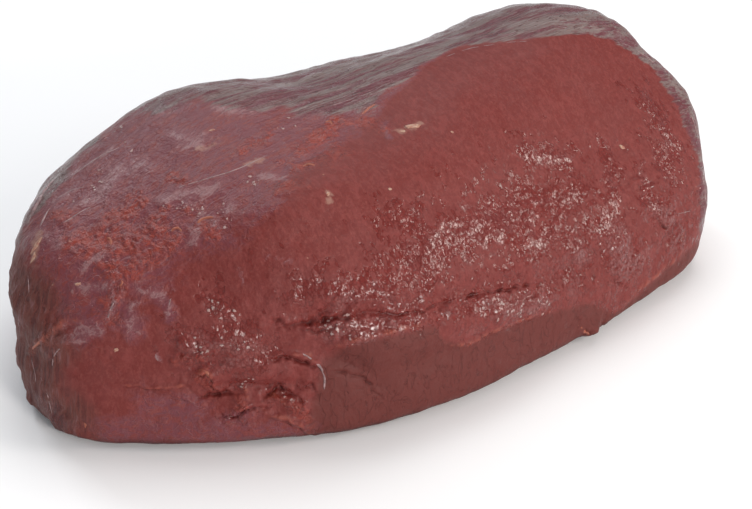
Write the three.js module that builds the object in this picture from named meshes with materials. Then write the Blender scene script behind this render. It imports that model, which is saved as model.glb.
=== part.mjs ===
// A raw, trimmed, boneless meat joint: two muscles grown together, lying on a flat underside.
// Millimetres, +Z up, origin on the floor under the middle of the joint.
// Long axis along X: the high, rounded end at +X, the blunt torn end at -X, the trimmed face toward -Y.
import * as THREE from "three";
import { mergeVertices } from "three/addons/utils/BufferGeometryUtils.js";

// Each muscle: middle, half sizes along its own axes, turn in degrees, and how square it is
// (a squareness of 2 makes an ellipsoid)
const BIG_MUSCLE = {
  middle: [15, -6.5, 26], half: [112.5, 74, 58], yaw: -1, pitch: 2.7, roll: 3.7, squareness: 2.5,
};
const END_MUSCLE = {
  middle: [-77, -5.5, 22], half: [80.5, 70.5, 50], yaw: 0, pitch: 7.4, roll: -3, squareness: 2.6,
};
const MUSCLES_GROW_TOGETHER = 17;   // width of the soft join between them

// Where the joint swells or sinks: middle, reach along X, Y and Z, and rise (a fall is negative)
const SWELLS = [
  { name: "back of the high shoulder", at: [90, 34.5, 70], reach: [36, 31.5, 35], rise: 10.5 },
  { name: "crown of the end muscle", at: [-60, 34, 66], reach: [34, 32, 28], rise: 12 },
  { name: "outer end of the high shoulder", at: [128, -11, 55], reach: [16.5, 31.5, 21], rise: 5 },
  { name: "far shoulder of the end muscle", at: [-92, 40, 62], reach: [20.5, 21, 15.5], rise: 2.4 },
  { name: "foot of the end muscle", at: [-84, -47, 2], reach: [44, 16, 20], rise: 6.3 },
  { name: "tuck under the high end", at: [131, -15, 24], reach: [18, 52, 40], rise: -4.6 },
  { name: "hollow over the near shoulder", at: [-104, -18, 66], reach: [20, 22, 18], rise: -2 },
  { name: "roll of meat above the steep lower face", at: [6, -66, 33], reach: [44, 14, 7], rise: 2.6 },
  { name: "fold on the lower front", at: [-70, -56, 29], reach: [15, 12, 5], rise: 2.4 },
  { name: "pad under the fold", at: [-76, -54, 15], reach: [16, 12, 6], rise: 1.6 },
  { name: "scrap hanging at the lower edge", at: [69, -59.5, 3], reach: [6.5, 10, 7], rise: 10.5 },
  { name: "torn lump on the blunt end", at: [-133, -8, 21], reach: [6, 8, 5], rise: 3 },
  { name: "lower torn lump on the blunt end", at: [-131, -14, 8], reach: [6, 7, 5], rise: 2.6 },
];

// Knife cuts: a point on the cut, the way the cut face looks, and how softly it turns into the rest
const CUTS = [
  { name: "blunt torn end", at: [-147, -16, 9], faces: [-0.9, 0.34, -0.03], soft: 22 },
  { name: "near face of the end muscle", at: [-62, -66, 9], faces: [-0.46, -0.87, 0.22], soft: 30 },
  { name: "steep lower face", at: [51, -58, 9], faces: [0.22, -0.97, 0.02], soft: 16 },
  { name: "large leaning face", at: [-1, -45, 61], faces: [0.2, -0.68, 0.7], soft: 12 },
];

// Creases and splits in the surface: the points they run through, width, and depth at the middle
const CREASES = [
  { name: "seam between the muscles", width: 7, depth: 2,
    through: [[-94, -20, 73], [-62, -23, 79], [-31, -15, 82], [15, -7, 84]] },
  { name: "long crease above the roll", width: 3.4, depth: 3.4,
    through: [[-67, -51, 46], [-45, -59, 46], [-27, -65, 41], [-1, -63, 41], [31, -59, 34], [58, -53, 30]] },
  { name: "undercut below the roll", width: 5, depth: 2,
    through: [[-40, -67, 24], [-12, -69, 25], [12, -65, 22], [34, -61, 18]] },
  { name: "split under the fold", width: 3, depth: 2.6,
    through: [[-93, -45, 22], [-80, -51, 22], [-69, -55, 21], [-60, -59, 23]] },
  { name: "split running down to the lower edge", width: 3, depth: 2.6,
    through: [[-62, -56, 36], [-50, -61, 31], [-43, -65, 25], [-36, -68, 16]] },
];

// Gentle unevenness of the flesh: height of the lumps, and the length of one lump
const UNEVEN = { height: 0.5, length: 9 };
const TORN = { height: 0.5, length: 4, starts: -96, full: -124 };

// Underside: flat, with a rounded lower edge
const LOWER_EDGE = { height: 8, inset: 5.5 };

// How finely the surface is divided along the joint, across it and up it
const DIVISIONS = [56, 18, 26];

const vector = (list) => new THREE.Vector3(...list);

function softJoin(a, b, width) {
  const share = THREE.MathUtils.clamp(0.5 + (0.5 * (b - a)) / width, 0, 1);
  return b + (a - b) * share - width * share * (1 - share);
}

function softCut(a, b, width) {
  return -softJoin(-a, -b, width);
}

// A muscle as a squarish ellipsoid; the value is below zero inside it, in millimetres near its surface
function muscle({ middle, half, yaw, pitch, roll, squareness }) {
  const turn = new THREE.Matrix4().makeRotationZ(THREE.MathUtils.degToRad(yaw));
  turn.multiply(new THREE.Matrix4().makeRotationY(THREE.MathUtils.degToRad(-pitch)));
  turn.multiply(new THREE.Matrix4().makeRotationX(THREE.MathUtils.degToRad(roll)));
  const toMuscle = turn.setPosition(...middle).invert();
  const local = new THREE.Vector3();
  return (p) => {
    local.copy(p).applyMatrix4(toMuscle);
    const sum = [local.x, local.y, local.z].reduce(
      (total, value, axis) => total + Math.abs(value / half[axis]) ** squareness, 0);
    return (sum ** (1 / squareness) - 1) * Math.min(...half);
  };
}

function swell({ at, reach, rise }) {
  return (p) => {
    const far = [p.x, p.y, p.z].reduce(
      (total, value, axis) => total + ((value - at[axis]) / reach[axis]) ** 2, 0);
    return rise * Math.exp(-1.2 * far);
  };
}

// A groove along a line of points, deepest at its middle and fading out at both ends
function crease({ through, width, depth }) {
  const points = through.map(vector);
  const nearest = new THREE.Vector3();
  const runs = points.slice(1).map((end, i) => new THREE.Line3(points[i], end));
  return (p) => {
    let best = Infinity;
    let place = 0;
    runs.forEach((run, i) => {
      const share = run.closestPointToPointParameter(p, true);
      const away = run.at(share, nearest).distanceTo(p);
      if (away < best) {
        best = away;
        place = (i + share) / runs.length;
      }
    });
    return depth * Math.sin(Math.PI * place) ** 0.5 * Math.exp(-((best / width) ** 2));
  };
}

function cut({ at, faces }) {
  const normal = vector(faces).normalize();
  const offset = normal.dot(vector(at));
  return (p) => normal.dot(p) - offset;
}

const bigMuscle = muscle(BIG_MUSCLE);
const endMuscle = muscle(END_MUSCLE);
const swells = SWELLS.map(swell);
const cuts = CUTS.map(cut);
const creases = CREASES.map(crease);

// Soft lumps of about one height and one length, set askew so that they don't line up
function lumps(p, { height, length }) {
  const a = Math.sin(p.x / length + 1.7 * Math.sin(p.z / length + 0.4) + 0.6);
  const b = Math.sin(p.y / (0.8 * length) + 1.3 * Math.sin(p.x / (1.3 * length) + 2.1));
  const c = Math.sin(p.z / (0.7 * length) + 1.1 * Math.sin(p.y / length + 4.2) + 1.3);
  return height * (a + b + c) / 1.5;
}

// Below zero inside the meat
function meat(p) {
  let value = softJoin(bigMuscle(p), endMuscle(p), MUSCLES_GROW_TOGETHER);
  for (const lift of swells) value -= lift(p);
  CUTS.forEach(({ soft }, i) => {
    value = softCut(value, cuts[i](p), soft);
  });
  if (Math.abs(value) < 30) {
    for (const groove of creases) value += groove(p);
    value -= lumps(p, UNEVEN);
    value -= lumps(p, TORN) * THREE.MathUtils.smoothstep(-p.x, -TORN.starts, -TORN.full);
  }
  return value;
}

// Walks from a point inside the meat along a direction to its surface, halving the step
function surfaceAlong(start, direction) {
  let inside = 0;
  let outside = 200;
  const p = new THREE.Vector3();
  for (let step = 0; step < 36; step += 1) {
    const middle = (inside + outside) / 2;
    p.copy(start).addScaledVector(direction, middle);
    if (meat(p) < 0) inside = middle;
    else outside = middle;
  }
  return p.copy(start).addScaledVector(direction, inside);
}

// Half length of the line of ray starts, its height, and the shape of the fan of rays
const SPINE = { half: 70, height: 31 };
const FAN = { along: 120, across: 68, height: 84, curve: 1.15 };

// Surface point for a place on a box running from -1 to 1 on each axis
function surfacePoint(k) {
  const underside = k.z < -0.999;
  const edge = underside ? Math.max(Math.abs(k.x), Math.abs(k.y), 1e-9) : 1;
  const kx = k.x / edge;
  const ky = k.y / edge;
  const up = underside ? 0 : (k.z + 1) / 2;
  const start = new THREE.Vector3(
    THREE.MathUtils.clamp(kx, -0.75, 0.75) / 0.75 * SPINE.half, 0, SPINE.height * Math.sin((up * Math.PI) / 2));
  const aim = new THREE.Vector3(kx * FAN.along, ky * FAN.across, FAN.height * up ** FAN.curve);
  const direction = aim.sub(start).normalize();
  const p = surfaceAlong(start, direction);
  const below = Math.max(LOWER_EDGE.height - p.z, 0) / LOWER_EDGE.height;
  const inset = LOWER_EDGE.inset * (1 - Math.sqrt(Math.max(1 - below * below, 0)));
  p.addScaledVector(direction.setZ(0).normalize(), -inset);
  if (underside) {
    const middle = new THREE.Vector3(THREE.MathUtils.clamp(k.x, -0.75, 0.75) / 0.75 * SPINE.half, 0, 0);
    p.sub(start.setZ(0)).multiplyScalar(edge).add(middle);
    p.z = 0;
  }
  return p;
}

function jointGeometry() {
  const box = new THREE.BoxGeometry(2, 2, 2, ...DIVISIONS);
  box.deleteAttribute("uv");
  box.deleteAttribute("normal");
  const shape = mergeVertices(box, 1e-4);
  const position = shape.attributes.position;
  const k = new THREE.Vector3();
  for (let i = 0; i < position.count; i += 1) {
    k.fromBufferAttribute(position, i);
    const p = surfacePoint(k);
    position.setXYZ(i, p.x, p.y, p.z);
  }
  shape.computeBoundingBox();
  const middle = shape.boundingBox.getCenter(new THREE.Vector3());
  shape.translate(-middle.x, -middle.y, 0);
  shape.computeVertexNormals();
  return shape;
}

const rawMeat = new THREE.MeshStandardMaterial({ color: 0x7e4440, roughness: 0.42, metalness: 0 });
const joint = new THREE.Mesh(jointGeometry(), rawMeat);
joint.name = "meat_joint";

const part = new THREE.Group();
part.name = "raw_meat_joint";
part.add(joint);

export default part;
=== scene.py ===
"""Raw, trimmed, boneless meat joint: flesh, silverskin, sinew and fat over its solid, on a pale floor."""
import math
import random

import bmesh
import bpy
import numpy as np
from bpy.props import FloatProperty, FloatVectorProperty, PointerProperty
from mathutils import Matrix, Vector, noise
from mathutils.bvhtree import BVHTree


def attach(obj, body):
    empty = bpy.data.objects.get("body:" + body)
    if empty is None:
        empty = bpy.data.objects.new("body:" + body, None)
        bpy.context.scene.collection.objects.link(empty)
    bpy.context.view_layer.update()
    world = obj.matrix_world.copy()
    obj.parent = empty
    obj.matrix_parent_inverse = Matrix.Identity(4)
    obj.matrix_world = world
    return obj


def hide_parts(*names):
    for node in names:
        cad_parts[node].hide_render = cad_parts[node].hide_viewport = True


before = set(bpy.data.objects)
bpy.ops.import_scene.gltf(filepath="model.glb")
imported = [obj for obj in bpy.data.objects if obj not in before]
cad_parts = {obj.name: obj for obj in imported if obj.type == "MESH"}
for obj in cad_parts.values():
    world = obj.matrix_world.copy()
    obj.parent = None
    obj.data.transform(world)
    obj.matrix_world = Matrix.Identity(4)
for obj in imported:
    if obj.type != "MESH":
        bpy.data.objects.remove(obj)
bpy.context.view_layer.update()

bl_info = {
    "name": "Raw meat joint",
    "version": (1, 0, 0),
    "blender": (4, 5, 0),
    "location": "3D View > Sidebar > Meat joint",
    "description": "Flesh, silverskin, sinew and fat of a raw boneless meat joint",
    "category": "Object",
}

MM = 0.001
SOLID = "meat_joint"
PICTURE = (752, 509)          # pixels of the view that places are named in
SENSOR = 36.0                 # camera sensor width, mm
ROUGH_LEVELS = 1              # subdivision of the flesh before it is refined where detail lies
GUIDE_LEVELS = 2              # subdivision of the smooth surface that new points are laid on


def ink(red, green, blue):
    """Colour given as 0 to 255 display values, as linear light."""
    def linear(value):
        part = value / 255
        return part / 12.92 if part <= 0.04045 else ((part + 0.055) / 1.055) ** 2.4
    return (linear(red), linear(green), linear(blue))


# Fixed shades
PALE_FIBRE = ink(140, 72, 65)
PALE_CLUMP = ink(134, 62, 58)
# painted shade in fine cracks
PAINTED_CRACK_SHADE = ink(72, 26, 23)
# painted shade in the hollows of the torn patches
PAINTED_TORN_SHADE = ink(84, 34, 36)
THICK_FILM = ink(150, 118, 118)
DARK_MAUVE = ink(102, 51, 59)
DARK_RED = ink(92, 37, 37)
PALE_SILVER = ink(150, 136, 132)
SCRATCH = ink(78, 42, 42)
# painted shade between the strands of the dried end
PAINTED_STRAND_SHADE = ink(64, 28, 26)
FAT_SPECK = ink(165, 118, 100)
# painted shade between the wet cells
PAINTED_PEBBLE_SHADE = ink(70, 22, 20)
# painted glint colour
PAINTED_GLINT = ink(206, 184, 178)
# painted contact shadow where the flesh meets the floor
PAINTED_CONTACT_SHADOW = ink(52, 20, 24)
# painted shade in the creases
PAINTED_CREASE_SHADE = ink(62, 18, 17)
THIN_FAT = ink(158, 100, 84)

# Settings that a user would change

class FleshSettings(bpy.types.PropertyGroup):
    flesh: FloatVectorProperty(
        name="Trimmed face", description="Flesh of the large trimmed face",
        subtype="COLOR", size=3, default=ink(109, 44, 41))
    flesh_dark: FloatVectorProperty(
        name="Flesh shade", description="Darker blotches in the flesh",
        subtype="COLOR", size=3, default=ink(108, 37, 33))
    lower_flesh: FloatVectorProperty(
        name="Lower face", description="Smooth steep face near the floor",
        subtype="COLOR", size=3, default=ink(97, 41, 36))
    mauve: FloatVectorProperty(
        name="Mauve muscle", description="Flesh seen through the thin membrane of the end muscle",
        subtype="COLOR", size=3, default=ink(112, 57, 64))
    ruddy: FloatVectorProperty(
        name="Ruddy muscle", description="Redder flesh where that membrane is thinnest",
        subtype="COLOR", size=3, default=ink(122, 52, 48))
    film: FloatVectorProperty(
        name="Film", description="Milky film left on the end muscle",
        subtype="COLOR", size=3, default=ink(131, 86, 89))
    silverskin: FloatVectorProperty(
        name="Silverskin", description="Grey membrane over the top and back",
        subtype="COLOR", size=3, default=ink(116, 96, 93))
    torn: FloatVectorProperty(
        name="Torn flesh", description="Rough patches where the membrane was pulled off",
        subtype="COLOR", size=3, default=ink(146, 60, 45))
    rim: FloatVectorProperty(
        name="Cut rim", description="Paler edges of cuts and folds",
        subtype="COLOR", size=3, default=ink(146, 74, 60))
    cream: FloatVectorProperty(
        name="Smeared fat", description="Thin fat left on the flesh",
        subtype="COLOR", size=3, default=ink(160, 122, 108))
    dried: FloatVectorProperty(
        name="Dried end", description="Brown, slightly dried blunt end",
        subtype="COLOR", size=3, default=ink(96, 57, 48))
    grain: FloatProperty(
        name="Grain", description="Width of one wet fibre bundle on the trimmed face",
        unit="LENGTH", default=1.35 * MM)
    pebble_height: FloatProperty(
        name="Pebble height", description="How far wet fibre bundles stand out",
        unit="LENGTH", default=0.18 * MM)
    torn_height: FloatProperty(
        name="Torn relief", description="Height of the torn patches",
        unit="LENGTH", default=0.45 * MM)


class SinewSettings(bpy.types.PropertyGroup):
    sinew: FloatVectorProperty(
        name="Sinew", description="Pale, bluish connective strands",
        subtype="COLOR", size=3, default=ink(160, 128, 128))
    shred: FloatVectorProperty(
        name="Shreds", description="Orange shreds of flesh and membrane",
        subtype="COLOR", size=3, default=ink(158, 88, 68))
    fat: FloatVectorProperty(
        name="Fat", description="Cream flecks of fat left on the joint",
        subtype="COLOR", size=3, default=ink(178, 142, 122))
    thickness: FloatProperty(
        name="Strand thickness", description="Diameter that the strand sizes are counted in",
        unit="LENGTH", default=1.0 * MM)


class StageSettings(bpy.types.PropertyGroup):
    floor: FloatVectorProperty(
        name="Floor", description="Plain pale floor",
        subtype="COLOR", size=3, default=(0.96, 0.96, 0.965))
    azimuth: FloatProperty(
        name="Camera azimuth", description="Turn of the camera about the joint",
        subtype="ANGLE", default=math.radians(-27.6))
    elevation: FloatProperty(
        name="Camera elevation", description="Height angle of the camera",
        subtype="ANGLE", default=math.radians(34.6))
    distance: FloatProperty(
        name="Camera distance", description="From the camera to the point it looks at",
        unit="LENGTH", default=0.6367)
    lens: FloatProperty(
        name="Lens", description="Focal length of the camera in millimetres", default=84.0)
    target: FloatVectorProperty(
        name="Camera target", description="Point that the camera looks at",
        subtype="TRANSLATION", unit="LENGTH", size=3, default=(0.0009, 0.0, 0.0197))


# The view that names places on the joint

def camera_axes(stage):
    """Camera place and its right, up and back directions."""
    a, e = stage.azimuth, stage.elevation
    back = Vector((math.sin(a) * math.cos(e), -math.cos(a) * math.cos(e), math.sin(e)))
    right = Vector((math.cos(a), math.sin(a), 0))
    return Vector(stage.target) + back * stage.distance, right, back.cross(right), back


class Sight:
    """Finds the point of a surface that the camera sees at a place in the picture."""

    def __init__(self, stage, mesh):
        self.eye, self.right, self.up, self.back = camera_axes(stage)
        self.scale = stage.lens / SENSOR * PICTURE[0]
        self.tree = BVHTree.FromPolygons(
            [v.co.copy() for v in mesh.vertices], [tuple(p.vertices) for p in mesh.polygons])

    def point(self, place):
        """Nearest surface point, in metres, and its normal."""
        across = (place[0] - PICTURE[0] / 2) / self.scale
        upward = (PICTURE[1] / 2 - place[1]) / self.scale
        ray = (self.right * across + self.up * upward - self.back).normalized()
        hit, normal, _, _ = self.tree.ray_cast(self.eye, ray)
        if hit is None:
            middle = self.eye + ray * (self.eye.length - 0.01)
            hit, normal, _, _ = self.tree.find_nearest(middle)
        return hit, normal

    def pictured(self, points):
        """Picture places of an array of points, in pixels."""
        away = points - np.array(self.eye)
        depth = -(away @ np.array(self.back))
        across = (away @ np.array(self.right)) / depth * self.scale + PICTURE[0] / 2
        return across, PICTURE[1] / 2 - (away @ np.array(self.up)) / depth * self.scale

    def line(self, places, step=3.0, wander=0.0):
        """Surface points along a broken line in the picture, a few pixels apart; it may wander a little."""
        def stray(x, y):
            return self.point((
                x + wander * noise.noise((x / 7, y / 7, 1.5)), y + wander * noise.noise((x / 7, y / 7, 7.5))))
        points = []
        for start, end in zip(places, places[1:]):
            count = max(1, round(math.dist(start, end) / step))
            for i in range(count):
                share = i / count
                points.append(stray(
                    start[0] + (end[0] - start[0]) * share, start[1] + (end[1] - start[1]) * share))
        points.append(stray(*places[-1]))
        return points


# Places in the picture, in pixels

# Where the silverskin ends: along the top, then down the right end
SILVERSKIN_EDGE = [
    (0, 250), (30, 225), (45, 205), (75, 160), (110, 130), (150, 110), (200, 103), (250, 112), (300, 112),
    (340, 118), (370, 112), (385, 97), (402, 83), (421, 66), (445, 52), (467, 46), (492, 44), (521, 39),
    (555, 37), (589, 34), (612, 42), (630, 53), (649, 66), (662, 82), (678, 107), (686, 129), (694, 157),
    (699, 190), (702, 250), (700, 290)]

# Splits and creases: the line, its width and depth in mm, and the lip above (+) or below (-) it
SPLITS = [
    ([(264, 320), (279, 322), (288, 325), (313, 321), (339, 318), (360, 313), (380, 309)], 1.1, 1.7, 0.6),
    ([(288, 327), (310, 333), (322, 330), (339, 325), (352, 319)], 0.9, 1.2, 0.4),
    ([(370, 314), (394, 313), (419, 310), (436, 305), (450, 299)], 1.0, 1.6, 0.5),
    ([(455, 302), (475, 293), (497, 290), (521, 288), (541, 284)], 1.0, 1.7, 0.5),
    ([(380, 300), (400, 297), (430, 290)], 0.8, 0.6, 0.3),
    ([(271, 359), (291, 360), (308, 364), (321, 369)], 1.1, 2.8, 0.9),
    ([(332, 372), (347, 373), (361, 377), (371, 385), (381, 399)], 0.8, 1.6, 0.3),
    ([(262, 394), (279, 385), (288, 390), (303, 401)], 0.9, 2.2, 0.6),
    ([(300, 385), (313, 385), (318, 394)], 0.7, 1.2, 0.4),
    ([(194, 399), (206, 395), (218, 394), (234, 393)], 1.1, 2.8, 0.8),
    ([(236, 400), (241, 405), (236, 411)], 0.8, 1.2, 0.4),
    ([(218, 415), (230, 418), (242, 412), (267, 407)], 0.9, 2.1, 0.6),
    ([(119, 387), (136, 386), (155, 391), (182, 389), (194, 391)], 1.0, 0.7, 0.5),
    ([(155, 393), (170, 398), (189, 402)], 0.8, 0.8, 0.4),
    ([(190, 376), (205, 374), (211, 384), (219, 394)], 0.9, 1.4, 0.9),
    ([(269, 417), (286, 423), (300, 430), (312, 437)], 0.9, 0.8, 0.9),
    ([(339, 361), (351, 366), (360, 366)], 0.7, 0.7, 0.2),
    ([(655, 217), (665, 227), (673, 238)], 1.0, 1.3, 0.5),
    ([(609, 275), (621, 283), (630, 286)], 1.0, 1.0, 0.4),
    ([(576, 320), (584, 330), (594, 331), (603, 322)], 1.0, 1.4, 0.6),
    ([(30, 356), (46, 341), (62, 329), (74, 324)], 1.0, 0.9, 0.8),
    ([(52, 367), (55, 354), (64, 346), (84, 343), (104, 350), (119, 373)], 0.9, 0.5, 0.5),
    ([(180, 345), (183, 352), (178, 360)], 0.8, 0.8, 0.5),
    ([(196, 340), (201, 352), (196, 362)], 0.8, 0.8, 0.5)]

# Fine drying cracks of the steep lower face, cut in and darkened with painted shade
SCRATCHES = [
    [(370, 380), (380, 386), (384, 396)], [(385, 369), (396, 373), (404, 380)], [(392, 352), (389, 366)],
    [(404, 345), (409, 360), (405, 378), (408, 390)], [(426, 350), (420, 366), (427, 384)],
    [(442, 352), (436, 372), (440, 384)], [(350, 385), (362, 392), (368, 404)], [(398, 398), (405, 408)],
    [(345, 352), (356, 356), (366, 366)], [(458, 350), (452, 366), (456, 378)], [(472, 346), (468, 362)],
    [(412, 372), (418, 384), (415, 396)], [(330, 392), (342, 400), (346, 412)], [(500, 338), (497, 352)]]

# Paler raised rims: the line, its width and height in mm
RIMS = [
    ([(318, 349), (339, 343), (359, 338), (382, 333), (414, 326), (436, 320)], 1.2, 0.7),
    ([(438, 343), (467, 343), (482, 334), (506, 324), (526, 318), (541, 313), (560, 306)], 1.3, 0.7),
    ([(614, 313), (638, 292), (662, 270), (684, 250)], 1.6, 0.5),
    ([(262, 411), (286, 418), (300, 425), (315, 434)], 1.3, 0.9),
    ([(29, 351), (44, 337), (61, 325), (72, 319), (92, 320)], 1.4, 0.7),
    ([(119, 384), (136, 384), (155, 388), (182, 386), (194, 388)], 0.9, 0.4),
    ([(194, 375), (202, 371), (209, 373), (213, 383)], 1.2, 0.9),
    ([(292, 351), (308, 356), (316, 362)], 1.1, 0.5),
    ([(262, 400), (275, 396), (292, 404), (300, 411)], 1.2, 0.6),
    ([(236, 404), (246, 396), (243, 386)], 1.1, 0.6), ([(359, 119), (368, 109), (380, 101)], 0.8, 0.5),
    ([(578, 325), (588, 336), (599, 335), (612, 321)], 1.1, 0.6)]

# Stretches of the long crease that flesh has closed again: the line, its width and height in mm
FILLS = [
    ([(385, 318), (410, 312), (440, 306), (470, 296), (500, 290), (545, 285)], 2.6, 1.5),
    ([(300, 332), (330, 326), (360, 318), (385, 315)], 2.4, 1.0)]

# Rough patches where membrane was pulled off: the line, and the reach in mm
TORN = [
    ([(60, 214), (66, 222)], 3.5), ([(88, 236), (104, 226), (122, 215), (138, 206)], 5),
    ([(96, 246), (116, 250), (140, 238), (160, 222)], 6), ([(110, 268), (121, 282), (112, 300)], 4),
    ([(135, 262), (150, 255), (168, 246)], 4.5), ([(196, 228), (208, 226), (214, 236)], 2.5),
    ([(240, 152), (256, 144), (270, 136)], 1.8), ([(306, 148), (324, 133), (338, 120)], 4),
    ([(318, 160), (300, 168), (340, 150)], 4), ([(362, 122), (374, 124)], 3), ([(284, 188), (300, 182)], 3),
    ([(66, 240), (78, 250)], 3), ([(170, 176), (184, 182)], 2.5), ([(32, 350), (46, 336), (60, 324)], 2.5),
    ([(106, 310), (112, 322)], 2.5), ([(84, 424), (86, 430)], 1.2),
    ([(176, 362), (192, 356), (204, 362)], 2.2), ([(196, 376), (210, 384)], 2.4),
    ([(236, 398), (244, 406)], 2), ([(276, 396), (296, 408), (310, 420)], 2.4)]

# Wet, pebbled flesh
WET = [
    ([(412, 262), (436, 248), (466, 232), (500, 222), (524, 214)], 9),
    ([(516, 240), (540, 252), (548, 232)], 6), ([(572, 238), (584, 258)], 6), ([(590, 222), (602, 234)], 5),
    ([(606, 220), (618, 244), (630, 268)], 8), ([(558, 268), (578, 292)], 5),
    ([(520, 196), (552, 204), (580, 192)], 6), ([(526, 152), (562, 160)], 4.5),
    ([(640, 92), (656, 112), (670, 142)], 4.5), ([(660, 150), (674, 182)], 4.5),
    ([(648, 196), (668, 216), (678, 238)], 5.5), ([(604, 150), (614, 196)], 4),
    ([(329, 326), (352, 330), (380, 324), (413, 316)], 5), ([(486, 304), (516, 306), (545, 300)], 6.5),
    ([(336, 300), (360, 290), (392, 284)], 6), ([(300, 294), (312, 282)], 4), ([(452, 310), (472, 300)], 4),
    ([(200, 346), (226, 343), (254, 348)], 5), ([(226, 363), (250, 361)], 3),
    ([(262, 360), (272, 350)], 2.6), ([(212, 304), (226, 312), (236, 328)], 4),
    ([(180, 338), (190, 354)], 3.5), ([(238, 386), (248, 376)], 2.4), ([(274, 390), (292, 400)], 3.2),
    ([(388, 216), (416, 228)], 5), ([(242, 416), (228, 422)], 2)]

# Beads of moisture, with painted glints on their tops
BEADS = [
    ([(100, 174), (94, 192)], 2.2), ([(166, 206), (184, 208), (200, 214)], 1.8),
    ([(250, 181), (260, 183)], 1.6), ([(116, 126), (124, 142)], 1.4), ([(134, 150), (142, 151)], 1.4),
    ([(284, 126), (296, 121)], 1.5), ([(222, 212), (230, 228)], 1.2), ([(74, 198), (82, 203)], 1.2),
    ([(212, 306), (224, 316)], 2.2), ([(226, 340), (250, 346)], 1.8), ([(196, 346), (204, 352)], 1.4),
    ([(242, 384), (250, 378)], 1.2), ([(282, 392), (290, 398)], 1.2),
    ([(486, 306), (516, 308), (544, 302)], 2.6), ([(330, 328), (356, 331)], 2),
    ([(592, 226), (600, 234)], 1.6), ([(620, 146), (626, 150)], 1.2)]

# Wettest flesh
GLOSS = [
    ([(414, 258), (440, 242), (466, 232), (500, 224), (522, 218)], 5.5), ([(538, 248), (546, 234)], 2.6),
    ([(574, 244), (584, 258)], 3), ([(610, 226), (616, 246), (624, 264)], 7),
    ([(634, 262), (644, 250)], 2.6), ([(330, 327), (356, 331), (392, 322)], 3.6),
    ([(484, 306), (516, 308), (544, 302)], 4.6), ([(340, 298), (384, 288)], 2.6),
    ([(198, 345), (226, 343), (254, 347)], 3.6), ([(226, 362), (252, 361)], 2.6),
    ([(656, 112), (668, 140)], 2.4), ([(652, 205), (668, 216)], 2.4), ([(522, 156), (570, 158)], 1.8),
    ([(208, 304), (230, 318)], 2.4), ([(540, 200), (574, 196)], 2.4), ([(640, 170), (650, 186)], 2.2)]

# Where the thin membrane of the end muscle ends against the trimmed flesh
MEMBRANE_EDGE = [
    (0, 345), (40, 335), (100, 312), (140, 282), (180, 246), (220, 218), (260, 192), (300, 164), (340, 138),
    (370, 118), (390, 98), (405, 84), (424, 68), (445, 52), (480, 38), (752, 10)]

# Upper edge of the smooth steep face near the floor
LOWER_EDGE = [
    (0, 560), (300, 440), (316, 385), (322, 352), (359, 341), (414, 329), (436, 323), (443, 338),
    (467, 343), (482, 335), (506, 325), (541, 314), (560, 308), (590, 302), (614, 312), (638, 293),
    (662, 271), (684, 251), (752, 200)]

# Mauve patches outside it
MAUVE = [
    ([(84, 310), (92, 322), (84, 334)], 6), ([(120, 306), (136, 326)], 6), ([(156, 296), (172, 312)], 4),
    ([(110, 432), (170, 430), (240, 432), (290, 434)], 8), ([(385, 124), (388, 136)], 2.2),
    ([(40, 400), (60, 422)], 5), ([(146, 404), (190, 412)], 8)]

# Knobs of flesh: the place, its reach and its rise in mm
KNOBS = [
    ((92, 384), 13, 1.5), ((186, 346), 3.5, 1.0), ((200, 352), 3, 0.9), ((214, 342), 3.2, 0.9),
    ((228, 340), 3, 0.8), ((240, 346), 3.4, 1.0), ((253, 341), 3, 0.8), ((236, 364), 4.5, 1.1),
    ((215, 378), 4, 1.0), ((262, 372), 5, 1.0), ((284, 376), 5, 0.9), ((617, 244), 3.8, 1.5),
    ((640, 262), 4, 0.8), ((604, 232), 3.2, 0.8), ((590, 230), 3, 0.6), ((575, 250), 3.4, 0.7),
    ((655, 240), 4, 0.8), ((668, 205), 4, 0.8), ((636, 210), 4, 0.7), ((566, 282), 3.4, 0.6),
    ((660, 180), 3.5, 0.6), ((335, 328), 4, 0.8), ((360, 330), 5, 0.9), ((395, 322), 4, 0.7),
    ((425, 316), 3.5, 0.7), ((455, 312), 3.5, 0.8), ((500, 310), 5.5, 1.0), ((530, 306), 5, 0.9),
    ((300, 342), 4, 0.8), ((290, 312), 5, 0.8), ((330, 305), 5, 0.6), ((591, 328), 3.6, 2.4),
    ((16, 358), 2.6, 1.5), ((20, 380), 2.4, 1.4), ((30, 398), 2.4, 1.3), ((42, 416), 2.4, 1.0),
    ((14, 300), 3, 1.0), ((44, 342), 4, 1.2), ((240, 404), 4, 0.9), ((298, 410), 5, 0.9)]

# Flesh bunched up into small folds
BUNCHED = [
    ([(270, 326), (330, 322), (400, 308), (470, 298), (550, 288)], 8),
    ([(600, 280), (650, 250), (684, 220)], 9), ([(200, 360), (240, 380), (300, 392)], 8),
    ([(620, 180), (660, 200)], 8), ([(560, 240), (600, 250)], 6)]

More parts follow.
